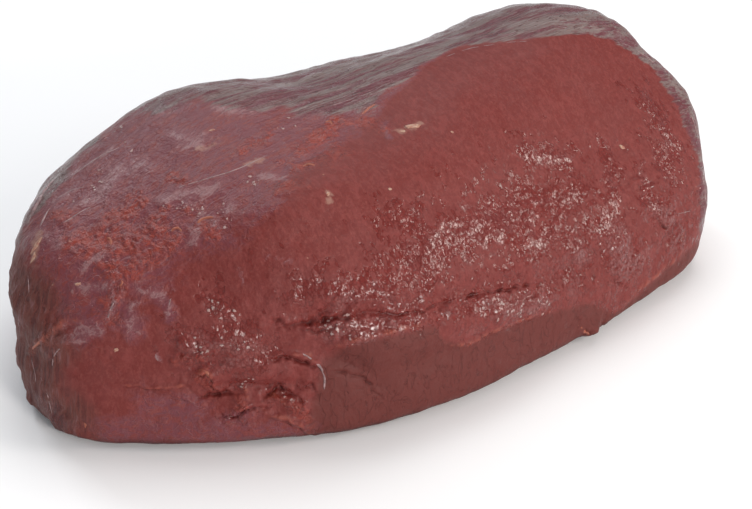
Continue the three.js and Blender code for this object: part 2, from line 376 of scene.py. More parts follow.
# Milky film
FILM = [
    ([(82, 268), (96, 260), (110, 254)], 2.2), ([(78, 286), (96, 288), (112, 284)], 2),
    ([(107, 322), (116, 296)], 2), ([(131, 332), (132, 303)], 2.4), ([(167, 318), (173, 290)], 1.2),
    ([(155, 354), (160, 362)], 1.2), ([(164, 200), (190, 194), (212, 190)], 3.5),
    ([(196, 232), (192, 244)], 2), ([(228, 208), (238, 214)], 2.5),
    ([(54, 352), (62, 342), (84, 340)], 1.8), ([(58, 186), (84, 168), (110, 152)], 2.2),
    ([(52, 202), (74, 190)], 2.2), ([(98, 196), (118, 172), (140, 166)], 5), ([(176, 136), (196, 142)], 4),
    ([(206, 216), (220, 222)], 2.5), ([(258, 176), (282, 178)], 2), ([(216, 108), (250, 112)], 2.5),
    ([(46, 236), (58, 246)], 2.5), ([(270, 256), (290, 260)], 2), ([(240, 270), (244, 282)], 1.5),
    ([(142, 292), (162, 296)], 2.5), ([(48, 356), (54, 343), (70, 332), (98, 330)], 3),
    ([(50, 372), (50, 392), (56, 410)], 1.6)]

# Silverskin so thin that dark muscle shows through, and the palest streaks of it
BARE = [
    ([(505, 12), (545, 5), (590, 12)], 3.2), ([(380, 98), (400, 80), (425, 64)], 1.6),
    ([(330, 112), (372, 94), (404, 76)], 1.8), ([(300, 104), (340, 92), (376, 80)], 1.6),
    ([(450, 48), (490, 38), (530, 36)], 1.5), ([(240, 104), (280, 98), (312, 92)], 1.8),
    ([(150, 120), (180, 108), (200, 112)], 2.5), ([(600, 22), (616, 34)], 2), ([(430, 46), (470, 30)], 1.8),
    ([(668, 82), (684, 110), (694, 150), (700, 190), (702, 240)], 3.0)]
MILKY = [
    ([(508, 26), (550, 22), (590, 26), (620, 38)], 3), ([(300, 96), (350, 88), (410, 66)], 1.8),
    ([(260, 90), (320, 76), (380, 60), (440, 36)], 2.2), ([(430, 58), (480, 42), (520, 34)], 1.2),
    ([(640, 52), (660, 68), (678, 92)], 1.6), ([(200, 88), (240, 90), (280, 86)], 2.4),
    ([(140, 104), (180, 90)], 2.5)]

# Strands of sinew: the line, its thickest diameter in strand thicknesses, how far it stands out
SINEWS = [
    ([(293, 350), (308, 356), (319, 365), (325, 376), (324, 390), (328, 406)], 1.2, 0.25),
    ([(26, 228), (36, 206), (47, 187), (58, 176)], 2.0, 0.5), ([(39, 229), (45, 216), (51, 206)], 1.2, 0.5),
    ([(52, 202), (73, 189), (90, 186)], 0.7, 0.3), ([(53, 229), (70, 219), (85, 209), (98, 205)], 0.8, 0.3),
    ([(160, 196), (179, 187), (206, 179), (230, 172), (247, 165), (267, 155), (284, 145)], 0.8, 0.3),
    ([(58, 187), (80, 170), (102, 155), (121, 147), (136, 146)], 0.9, 0.45),
    ([(107, 320), (112, 305), (116, 296)], 0.9, 0.2), ([(167, 316), (170, 300), (174, 290)], 0.7, 0.25),
    ([(156, 350), (155, 358), (160, 363)], 0.8, 0.3),
    ([(52, 369), (52, 359), (58, 349), (68, 345)], 0.8, 0.3),
    ([(604, 36), (630, 46), (654, 62), (672, 84)], 0.6, 0.25),
    ([(684, 98), (694, 122), (702, 150)], 0.7, 0.3), ([(520, 30), (556, 26), (592, 32)], 0.5, 0.2),
    ([(430, 62), (470, 48), (510, 42), (550, 40)], 0.5, 0.2),
    ([(310, 112), (340, 103), (372, 92), (400, 74)], 0.5, 0.2),
    ([(700, 166), (705, 190), (706, 214)], 0.8, 0.3), ([(20, 290), (18, 320), (22, 350)], 0.5, 0.3),
    ([(34, 250), (28, 280), (30, 310)], 0.5, 0.3), ([(30, 356), (36, 376), (34, 396)], 0.6, 0.3),
    ([(40, 376), (48, 396), (52, 416)], 0.5, 0.3)]

# Orange shreds of torn membrane and flesh: as above
SHREDS = [
    ([(170, 234), (173, 228), (180, 228), (182, 234)], 1.5, 0.3),
    ([(196, 229), (199, 220), (208, 217), (221, 218)], 1.9, 0.3),
    ([(358, 120), (366, 110), (380, 101)], 1.3, 0.3), ([(300, 168), (308, 163), (318, 166)], 1.8, 0.2),
    ([(104, 236), (112, 240), (110, 248)], 1.9, 0.2), ([(118, 276), (124, 282), (118, 288)], 1.9, 0.2),
    ([(194, 372), (202, 369), (209, 374), (212, 382)], 1.7, 0.2),
    ([(322, 124), (330, 120), (334, 128)], 1.4, 0.2), ([(83, 421), (86, 425), (85, 430)], 1.6, 0.3),
    ([(30, 352), (38, 343), (46, 336)], 1.8, 0.2), ([(578, 324), (586, 333), (596, 334)], 1.6, 0.2)]

# Thin fat smeared over the flesh
FATTY = [
    ([(400, 131), (412, 127), (422, 123)], 1.5), ([(33, 262), (36, 248), (41, 234)], 2.2),
    ([(246, 164), (262, 158)], 1.0), ([(326, 192), (330, 200)], 1.0), ([(200, 148), (216, 144)], 1.2)]

# Flecks of fat: the place, its length and width in mm, and its turn in the picture in degrees
FLECKS = [
    ((413, 126), 5.2, 2.0, 22), ((402, 131), 2.4, 1.2, 10), ((36, 246), 6.5, 1.8, 70),
    ((33, 258), 4.0, 1.4, 80), ((452, 132), 1.2, 0.8, 0), ((328, 194), 1.6, 1.1, 60),
    ((622, 147), 2.2, 1.3, -30), ((116, 350), 1.8, 1.1, 30), ((78, 284), 2.2, 0.9, 10),
    ((390, 189), 1.4, 0.9, 0), ((212, 130), 2.0, 0.8, 15)]


# Surface of the joint, worked on as arrays

def lay(values, mesh, name):
    """Writes one number per vertex as an attribute of a mesh."""
    attribute = mesh.attributes.new(name, "FLOAT", "POINT")
    attribute.data.foreach_set("value", np.clip(values, 0, 1).astype(np.float32))


def step_between(values, low, high):
    """Smooth rise from 0 at low to 1 at high."""
    share = np.clip((values - low) / (high - low), 0, 1)
    return share * share * (3 - 2 * share)


def faded_ends(best, count):
    """Strength along a line of spots, by the nearest spot: full in the middle, low at both ends."""
    share = best / max(1, count - 1)
    return np.sin(np.pi * np.clip(share * 0.96 + 0.02, 0, 1)) ** 0.4


def lumps(points, sizes, shift=0.0):
    """Soft noise from -1 to 1; sizes in mm are the lengths of its lumps along X, Y and Z."""
    scaled = points / (np.array(sizes) * MM) + shift
    return np.fromiter((noise.noise(p) for p in scaled), float, len(points))


def pebbles(points, sizes, shift=0.0):
    """Round-topped cells, from 0 between them to 1 on their tops."""
    scaled = points / (np.array(sizes) * MM) + shift
    nearest = np.fromiter((noise.voronoi(p)[0][0] for p in scaled), float, len(points))
    return 1 - np.clip(nearest / 0.75, 0, 1) ** 2


def subdivided_copy(source, levels):
    """Mesh of a merged copy of the solid, its triangles paired and its surface subdivided."""
    shape = bmesh.new()
    shape.from_mesh(source.data)
    bmesh.ops.remove_doubles(shape, verts=shape.verts, dist=0.002 * MM)
    bmesh.ops.join_triangles(
        shape, faces=shape.faces, angle_face_threshold=math.radians(70),
        angle_shape_threshold=math.radians(70))
    mesh = bpy.data.meshes.new("joint_rough")
    shape.to_mesh(mesh)
    shape.free()
    rough = bpy.data.objects.new("joint_rough", mesh)
    bpy.context.collection.objects.link(rough)
    smooth = rough.modifiers.new("subdivision", "SUBSURF")
    smooth.levels = smooth.render_levels = levels
    bpy.context.view_layer.update()
    fine = bpy.data.meshes.new_from_object(rough.evaluated_get(bpy.context.evaluated_depsgraph_get()))
    bpy.data.objects.remove(rough)
    bpy.data.meshes.remove(mesh)
    return fine


def refine(mesh, guide, wanted):
    """Splits the edges whose ends are both wanted, and lays the new points on the guide surface."""
    shape = bmesh.new()
    shape.from_mesh(mesh)
    shape.verts.ensure_lookup_table()
    before = len(shape.verts)
    edges = [e for e in shape.edges if wanted[e.verts[0].index] and wanted[e.verts[1].index]]
    bmesh.ops.subdivide_edges(shape, edges=edges, cuts=1, use_grid_fill=True)
    shape.verts.ensure_lookup_table()
    for vertex in shape.verts[before:]:
        vertex.co = guide.find_nearest(vertex.co)[0]
    bmesh.ops.triangulate(shape, faces=[f for f in shape.faces if len(f.verts) > 4])
    shape.to_mesh(mesh)
    shape.free()
    mesh.update()


class Skin:
    """Vertices of the joint's surface with their normals, and the relief that is added to them."""

    def __init__(self, mesh, sight):
        self.mesh = mesh
        self.sight = sight
        count = len(mesh.vertices)
        self.points = np.empty(count * 3)
        mesh.vertices.foreach_get("co", self.points)
        self.points = self.points.reshape(-1, 3)
        self.normals = np.empty(count * 3)
        mesh.vertices.foreach_get("normal", self.normals)
        self.normals = self.normals.reshape(-1, 3)
        self.height = np.zeros(count)

    def gaps(self, places, margin, wander=0.0):
        """Vertices near a line on the surface, offsets from its spots, and the nearest spot of each."""
        spots = np.array([p for p, _ in self.sight.line(places, 2.0 if wander else 3.0, wander)])
        near = np.flatnonzero((
            (self.points > spots.min(0) - margin) & (self.points < spots.max(0) + margin)).all(1))
        offsets = self.points[near, None, :] - spots[None, :, :]
        far = np.sqrt((offsets ** 2).sum(2))
        best = far.argmin(1)
        rows = np.arange(len(near))
        return near, spots, offsets[rows, best], far[rows, best], best

    def strokes(self, items, raggedness=0.35):
        """Strength of a list of ragged strokes: the line, and the reach in mm."""
        total = np.zeros(len(self.points))
        for places, reach in items:
            near, _, _, far, _ = self.gaps(places, 2.4 * reach * MM)
            size = 0.7 * reach + 1.5
            ragged = 1 + raggedness * 2 * lumps(self.points[near], (size, size, size), reach)
            mark = np.exp(-(far * np.maximum(ragged, 0.3) / (reach * MM)) ** 2)
            total[near] = np.maximum(total[near], mark)
        return total

    def split(self, places, width, depth, lip):
        """Cuts a crease with a raised lip on one side, shallower toward its ends; also gives the strength of
        the painted shade in it.
        """
        near, spots, offset, far, best = self.gaps(places, 6 * width * MM, 4.0)
        run = np.gradient(spots, axis=0)
        run /= np.linalg.norm(run, axis=1)[:, None] + 1e-12
        uphill = np.cross(self.normals[near], run[best])
        uphill *= np.sign(uphill[:, 2])[:, None]
        above = (offset * uphill).sum(1)
        fade = faded_ends(best, len(spots))
        wobble = 0.4 + 1.2 * np.abs(lumps(self.points[near], (3.5, 3.5, 3.5), 3.1))
        far = far * (1 + 0.6 * lumps(self.points[near], (1.8, 1.8, 1.8), 5.7))
        groove = depth * np.exp(-(far / (0.55 * width * MM)) ** 2)
        side = above * math.copysign(1, lip) - 1.5 * width * MM
        ridge = abs(lip) * np.exp(-(side / (1.2 * width * MM)) ** 2) * np.exp(-(far / (4 * width * MM)) ** 2)
        self.height[near] += (ridge - groove) * fade * wobble * MM
        mark = np.exp(-(far / (0.5 * width * MM)) ** 2) * fade * wobble * min(1, 0.35 + depth / 2.5)
        return near, mark

    def knob(self, place, reach, rise):
        """Raises a soft round lump."""
        spot, _ = self.sight.point(place)
        far = np.linalg.norm(self.points - np.array(spot), axis=1)
        self.height += rise * MM * np.exp(-(far / (reach * MM)) ** 2)

    def ridge(self, places, width, height):
        """Raises a narrow rim along a line."""
        near, spots, _, far, best = self.gaps(places, 3 * width * MM, 3.0)
        fade = faded_ends(best, len(spots))
        fade *= 0.4 + 1.3 * np.abs(lumps(self.points[near], (3, 3, 3), 8.3))
        mark = np.exp(-(far / (width * MM)) ** 2) * fade
        self.height[near] += mark * height * MM
        return near, mark

    def apply(self):
        """Moves the vertices by the relief; the flat underside stays flat."""
        free = step_between(self.points[:, 2], 0.1 * MM, 3 * MM)
        moved = self.points + self.normals * (self.height * free)[:, None]
        moved[:, 2] = np.maximum(moved[:, 2], 0)
        self.mesh.vertices.foreach_set("co", moved.ravel())
        self.mesh.update()


# Shader maths

class Signal:
    """One output socket of a shader tree, so that maths on it is written as an expression."""

    def __init__(self, tree, socket):
        self.tree = tree
        self.socket = socket

    def math(self, operation, *others, clamp=False):
        settings = {"operation": operation, "use_clamp": clamp}
        return wire(self.tree, "ShaderNodeMath", settings, (self, *others))

    def __add__(self, other):
        return self.math("ADD", other)

    def __radd__(self, other):
        return self.math("ADD", other)

    def __sub__(self, other):
        return self.math("SUBTRACT", other)

    def __rsub__(self, other):
        return wire(self.tree, "ShaderNodeMath", {"operation": "SUBTRACT"}, (other, self))

    def __mul__(self, other):
        return self.math("MULTIPLY", other)

    def __rmul__(self, other):
        return self.math("MULTIPLY", other)

    def vector_math(self, operation, other, output=0):
        return wire(self.tree, "ShaderNodeVectorMath", {"operation": operation}, (self, other), output)

    def also(self, output):
        """Another output of the same node."""
        return Signal(self.tree, self.socket.node.outputs[output])

    def between(self, low, high):
        """Smooth rise from 0 at low to 1 at high."""
        settings = {"interpolation_type": "SMOOTHSTEP"}
        return wire(self.tree, "ShaderNodeMapRange", settings, (self, low, high, 0.0, 1.0))

    def clamped(self):
        return self.math("ADD", 0.0, clamp=True)


def wire(tree, kind, settings, inputs, output=0):
    """Adds a node: its settings first, then values or links of its sockets; returns one output."""
    node = tree.nodes.new(kind)
    for name, value in settings.items():
        setattr(node, name, value)
    pairs = inputs.items() if isinstance(inputs, dict) else enumerate(inputs)
    for key, value in pairs:
        if isinstance(value, Signal):
            tree.links.new(value.socket, node.inputs[key])
        else:
            node.inputs[key].default_value = value
    return Signal(tree, node.outputs[output])


class Finish:
    """A procedural material: patterns on object coordinates and masks laid on the mesh."""

    def __init__(self, name):
        self.material = bpy.data.materials.new(name)
        self.material.use_nodes = True
        self.tree = self.material.node_tree
        self.tree.nodes.clear()
        self.place = wire(self.tree, "ShaderNodeTexCoord", {}, {}, "Object")

    def mask(self, name):
        return wire(self.tree, "ShaderNodeAttribute", {"attribute_name": name}, {}, "Fac")

    def spread(self, sizes, turn=(0, 0, 0)):
        """Coordinates counted in lumps of the given sizes in mm, after a turn in degrees."""
        return wire(self.tree, "ShaderNodeMapping", {"vector_type": "TEXTURE"}, {
            "Vector": self.place,
            "Rotation": [math.radians(t) for t in turn],
            "Scale": [s * MM for s in sizes]})

    def clouds(self, sizes, detail=2.0, roughness=0.5, turn=(0, 0, 0), warp=0.0):
        return wire(self.tree, "ShaderNodeTexNoise", {}, {
            "Vector": self.spread(sizes, turn), "Scale": 1.0, "Detail": detail,
            "Roughness": roughness, "Distortion": warp})

    def lines(self, sizes, width, turn=(0, 0, 0), warp=0.6):
        """Thin winding lines: 1 on a line and 0 away from it."""
        pattern = self.clouds(sizes, 2.5, 0.55, turn, warp)
        return (width - (pattern - 0.5).math("ABSOLUTE")).between(0.0, width)

    def cells(self, sizes, feature="F1", turn=(0, 0, 0)):
        return wire(self.tree, "ShaderNodeTexVoronoi", {"feature": feature}, {
            "Vector": self.spread(sizes, turn), "Scale": 1.0}, "Distance")

    def cobbles(self, sizes, turn=(0, 0, 0)):
        """Flat-topped cells, each tilted its own way: tilt, way in from the edge, and a draw per cell."""
        place = self.spread(sizes, turn)
        inputs = {"Vector": place, "Scale": 1.0, "Randomness": 0.95}
        middle = wire(self.tree, "ShaderNodeTexVoronoi", {"feature": "F1"}, inputs, "Position")
        draw = middle.also("Color")
        offset = place.vector_math("SUBTRACT", middle)
        tilt = offset.vector_math("DOT_PRODUCT", draw.vector_math("SUBTRACT", (0.5, 0.5, 0.5)), "Value")
        inward = wire(self.tree, "ShaderNodeTexVoronoi", {"feature": "DISTANCE_TO_EDGE"}, inputs, "Distance")
        chance = wire(self.tree, "ShaderNodeSeparateColor", {}, (draw,), "Green")
        return tilt, inward, chance

    def domes(self, size, radius):
        """Scattered round domes: their height from 0 to 1, and a draw for each."""
        spot = wire(self.tree, "ShaderNodeTexVoronoi", {"feature": "F1"}, {
            "Vector": self.spread((size, size, size)), "Scale": 1.0}, "Distance")
        chance = wire(self.tree, "ShaderNodeSeparateColor", {}, (spot.also("Color"),), "Red")
        share = (spot * (0.75 + chance * 0.9) * (1 / radius)).clamped()
        return 1 - share * share, chance

    def mix(self, share, first, second):
        """Colour between two colours."""
        def colour(value):
            return value if isinstance(value, Signal) else (*value, 1.0)
        return wire(self.tree, "ShaderNodeMix", {"data_type": "RGBA"}, {
            "Factor": share, 6: colour(first), 7: colour(second)}, 2)

    def done(self, colour, roughness, height, **constants):
        """Closes the material; height is in mm."""
        bump = wire(self.tree, "ShaderNodeBump", {}, {
            "Strength": 1.0, "Distance": MM, "Height": height}, "Normal")
        inputs = {"Base Color": colour, "Roughness": roughness, "Normal": bump}
        inputs.update({key.replace("_", " "): value for key, value in constants.items()})
        shader = wire(self.tree, "ShaderNodeBsdfPrincipled", {}, inputs, "BSDF")
        output = self.tree.nodes.new("ShaderNodeOutputMaterial")
        self.tree.links.new(shader.socket, output.inputs["Surface"])
        return self.material


def flesh_finish(look):
    """Wet raw flesh with its grain, torn patches, silverskin and the dried end."""
    f = Finish("raw_flesh")
    silver, bare, milky = f.mask("silverskin"), f.mask("bare"), f.mask("milky")
    mauve, film, torn, rim = f.mask("mauve"), f.mask("film"), f.mask("torn"), f.mask("rim")
    lower, wet, dried, crease = f.mask("lower"), f.mask("wet"), f.mask("dried"), f.mask("crease")
    fatty, beads_with_painted_glints, gloss, painted_contact_shadow = f.mask("fatty"), f.mask("beads_with_painted_glints"), f.mask("gloss"), f.mask("painted_contact_shadow")
    grain = look.grain / MM

    blotch = f.clouds((15, 15, 15), 3.0, 0.55)
    mottle = f.clouds((2.6, 2.6, 2.6), 3.0, 0.6)
    fine = f.clouds((0.8, 0.8, 0.8), 2.0, 0.6)
    fibres = f.clouds((1.0, 6, 2.0), 2.0, 0.55, (-45, 0, 10))
    clumps = f.clouds((2.4, 7, 3.5), 3.0, 0.6, (-45, 0, 14), 0.6)
    streaks = f.clouds((30, 2.4, 2.4), 4.0, 0.65, (0, 0, 8), 0.3)
    hairs = f.clouds((22, 0.7, 0.7), 2.0, 0.6, (0, 0, 6))
    bands = f.clouds((60, 6, 6), 2.0, 0.5, (0, 0, 8), 0.3)
    scratches = f.lines((20, 2.0, 2.0), 0.022, (0, 0, 8), 0.3)
    drag = f.clouds((8, 2.2, 2.2), 3.0, 0.65, (0, 0, 12), 0.8)
    wisps = f.lines((12, 3.6, 3.6), 0.045, (0, 0, 12), 0.3)
    strands = f.clouds((1.8, 1.8, 14), 3.0, 0.6, (0, 6, 0), 0.4)
    cracks = f.lines((4, 4, 9), 0.014)
    ragged = f.clouds((2.4, 2.0, 2.0), 3.0, 0.65, (0, 0, 12), 0.6)
    specks = f.cells((9, 9, 9))
    tilt, inward, chance = f.cobbles((grain * 0.85, grain * 1.4, grain * 1.4), (-20, 0, 14))

    flesh = f.mix((blotch * 0.6 + mottle * 0.4).between(0.38, 0.60), look.flesh_dark, look.flesh)
    fibrous = (fine * 0.4 + fibres * 0.4 + clumps * 0.2).between(0.45, 0.63)
    flesh = f.mix(fibrous * 0.36, flesh, PALE_FIBRE)
    flesh = f.mix(clumps.between(0.50, 0.64) * 0.6, flesh, look.flesh_dark)
    flesh = f.mix((0.5 - clumps).between(0.0, 0.12) * 0.35, flesh, PALE_CLUMP)
    flesh = f.mix(lower, flesh, look.lower_flesh)
    # painted shade along the fine cracks of the lower face
    flesh = f.mix(lower * cracks * 0.5, flesh, PAINTED_CRACK_SHADE)
    skinned = (mauve + (blotch - 0.5) * 0.7 + (mottle - 0.5) * 0.9).between(0.3, 0.95)
    skin = f.mix((drag * 0.7 + fine * 0.3).between(0.46, 0.60), look.mauve, look.ruddy)
    flesh = f.mix(skinned * 0.9, flesh, skin)
    raw = (torn + (ragged - 0.5) * 2.2).between(0.35, 0.9)
    raw = raw * torn.between(0.05, 0.4) * (0.4 + skinned * 0.6)
    patch = f.mix((clumps * 0.6 + mottle * 0.4).between(0.47, 0.56), look.torn, look.ruddy)
    flesh = f.mix(raw * (0.2 + fine), flesh, patch)
    # painted shade in the lowest hollows of the torn relief
    flesh = f.mix(torn * (0.44 - ragged).between(0.0, 0.06) * 0.4, flesh, PAINTED_TORN_SHADE)
    milk = (film * 0.75 + skinned * 0.3 + (drag - 0.5) * 2.2 + (fine - 0.5) * 0.8).between(0.45, 1.2)
    flesh = f.mix((milk * 0.75 + wisps * skinned * 0.22).clamped(), flesh, look.film)
    flesh = f.mix(milk.between(0.6, 1.0) * 0.35, flesh, THICK_FILM)
    under = f.mix(streaks.between(0.42, 0.60) * 0.6, DARK_MAUVE, DARK_RED)
    cover = (streaks - 0.5) * 4.5 + (bands - 0.5) * 4.5 + (hairs - 0.5) * 2.6
    cover = (cover + 0.6 - bare * 0.8 + milky * 0.3).clamped()
    skin = f.mix(cover, under, look.silverskin)
    skin = f.mix((milky * 0.5 + (hairs - 0.5) * 2.2).clamped() * 0.5, skin, PALE_SILVER)
    skin = f.mix(scratches * 0.85, skin, SCRATCH)
    flesh = f.mix((silver + (streaks - 0.5) * 1.5).between(0.3, 0.7), flesh, skin)
    flesh = f.mix(dried * (0.6 + (strands - 0.5) * 2.4).clamped(), flesh, look.dried)
    flesh = f.mix(dried * strands.between(0.56, 0.66) * 0.6, flesh, look.film)
    # painted shade in the hollows between the dried strands
    flesh = f.mix(dried * (0.48 - strands).between(0.0, 0.06) * 0.6, flesh, PAINTED_STRAND_SHADE)
    flesh = f.mix((rim + (mottle - 0.5) * 0.5).between(0.25, 0.9) * 0.55, flesh, look.rim)
    flesh = f.mix((fatty + (mottle - 0.5) * 0.9).between(0.3, 0.9) * 0.6, flesh, look.cream)
    speck = (0.05 - specks).between(0.0, 0.02) * blotch.between(0.5, 0.56)
    flesh = f.mix(speck * 0.5 * (1 - silver), flesh, FAT_SPECK)
    cobbled = (wet * 1.1 - chance * 0.9).between(0.0, 0.12)
    # painted shade in the gaps between the wet cells
    pebble_gap_shade = 1 - inward.between(0.0, 0.16)
    dome, draw = f.domes(1.5, 0.42)
    beaded = (beads_with_painted_glints * 0.95 - draw).between(0.0, 0.12)
    dome = (dome + (fine - 0.5) * 2.4).clamped() * beaded
    flesh = f.mix(cobbled * pebble_gap_shade * 0.35, flesh, PAINTED_PEBBLE_SHADE)
    # painted glints: pale colour on the tops of the moisture beads
    flesh = f.mix(dome.between(0.2, 0.8) * 0.5, flesh, PAINTED_GLINT)
    # painted contact shadow: darker flesh in the lowest few millimetres
    flesh = f.mix(painted_contact_shadow * 0.85, flesh, PAINTED_CONTACT_SHADOW)
    # painted shade in the splits and fine cracks
    flesh = f.mix(crease.between(0.1, 0.9) * 0.6, flesh, PAINTED_CREASE_SHADE)

    height = (
        cobbled * (inward.between(0.0, 0.5) * 0.5 + tilt * 1.8) * (look.pebble_height / MM)
        + fibres * 0.14 * (1 - silver) * (1 - cobbled * 0.7) + clumps * 0.3 * (1 - silver)
        + (mottle * 0.2 + fine * 0.1) * (1 - cobbled * 0.65)
        + ragged * torn * 0.8
        + streaks * silver * 0.5 + hairs * silver * 0.16 + drag * skinned * 0.45 + wisps * skinned * 0.1
        + strands * dried * 1.3 - cracks * lower * 0.12 + ragged * rim * 0.3 + dome * 0.26)
    roughness = (
        0.62 - cobbled * 0.38 - wet * 0.08 - silver * 0.2 - skinned * 0.2 - film * 0.06 - torn * 0.12
        - rim * 0.1 + (mottle - 0.5) * 0.3 - dome.between(0.0, 0.3) * 0.25).math("MAXIMUM", 0.1)
    coat = (gloss + (mottle - 0.5) * 1.2).between(0.3, 0.85) * inward.between(0.02, 0.22) * 0.85
    return f.done(
        flesh, roughness, height, IOR=1.37, Coat_Weight=coat, Coat_Roughness=0.2, Coat_IOR=1.45,
        Subsurface_Weight=0.12, Subsurface_Radius=(1.0, 0.35, 0.25), Subsurface_Scale=0.003)


def sinew_finish(look):
    """Milky, slightly glassy strands."""
    f = Finish("pale_sinew")
    clouds = f.clouds((3, 1.2, 1.2), 3.0, 0.6)
    colour = f.mix(clouds.between(0.35, 0.65), [c * 0.55 for c in look.sinew], look.sinew)
    return f.done(
        colour, 0.3 + clouds * 0.12, clouds * 0.15, IOR=1.43,
        Subsurface_Weight=0.25, Subsurface_Radius=(1.0, 0.6, 0.5), Subsurface_Scale=0.002)


def shred_finish(look):
    """Orange, wet shreds of membrane and flesh."""
    f = Finish("orange_shreds")
    clouds = f.clouds((1.8, 1.8, 1.8), 3.0, 0.6)
    colour = f.mix(clouds.between(0.35, 0.65), [c * 0.78 for c in look.shred], look.shred)
    return f.done(
        colour, 0.32 + clouds * 0.12, clouds * 0.25, IOR=1.43,
        Subsurface_Weight=0.2, Subsurface_Radius=(1.0, 0.4, 0.3), Subsurface_Scale=0.002)


def fat_finish(look):
    """Cream fat with a red tinge where it is thin."""
    f = Finish("cream_fat")
    clouds = f.clouds((1.4, 1.4, 1.4), 3.0, 0.6)
    colour = f.mix(clouds.between(0.35, 0.62), THIN_FAT, look.fat)
    return f.done(
        colour, 0.4 + clouds * 0.1, clouds * 0.3, IOR=1.44,
        Subsurface_Weight=0.2, Subsurface_Radius=(1.0, 0.6, 0.4), Subsurface_Scale=0.002)


def add_piece(name, mesh, material):
    """A piece of the joint that moves with it."""
    piece = bpy.data.objects.new(name, mesh)
    mesh.materials.clear()
    mesh.materials.append(material)
    if isinstance(mesh, bpy.types.Mesh):
        mesh.shade_smooth()
    bpy.context.collection.objects.link(piece)
    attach(piece, "root")
    return piece


def flesh_sight(scene):
    """The view onto the finished flesh, for pieces that lie on it."""
    return Sight(scene.joint_stage, bpy.data.objects["joint_flesh"].data)


# The pieces

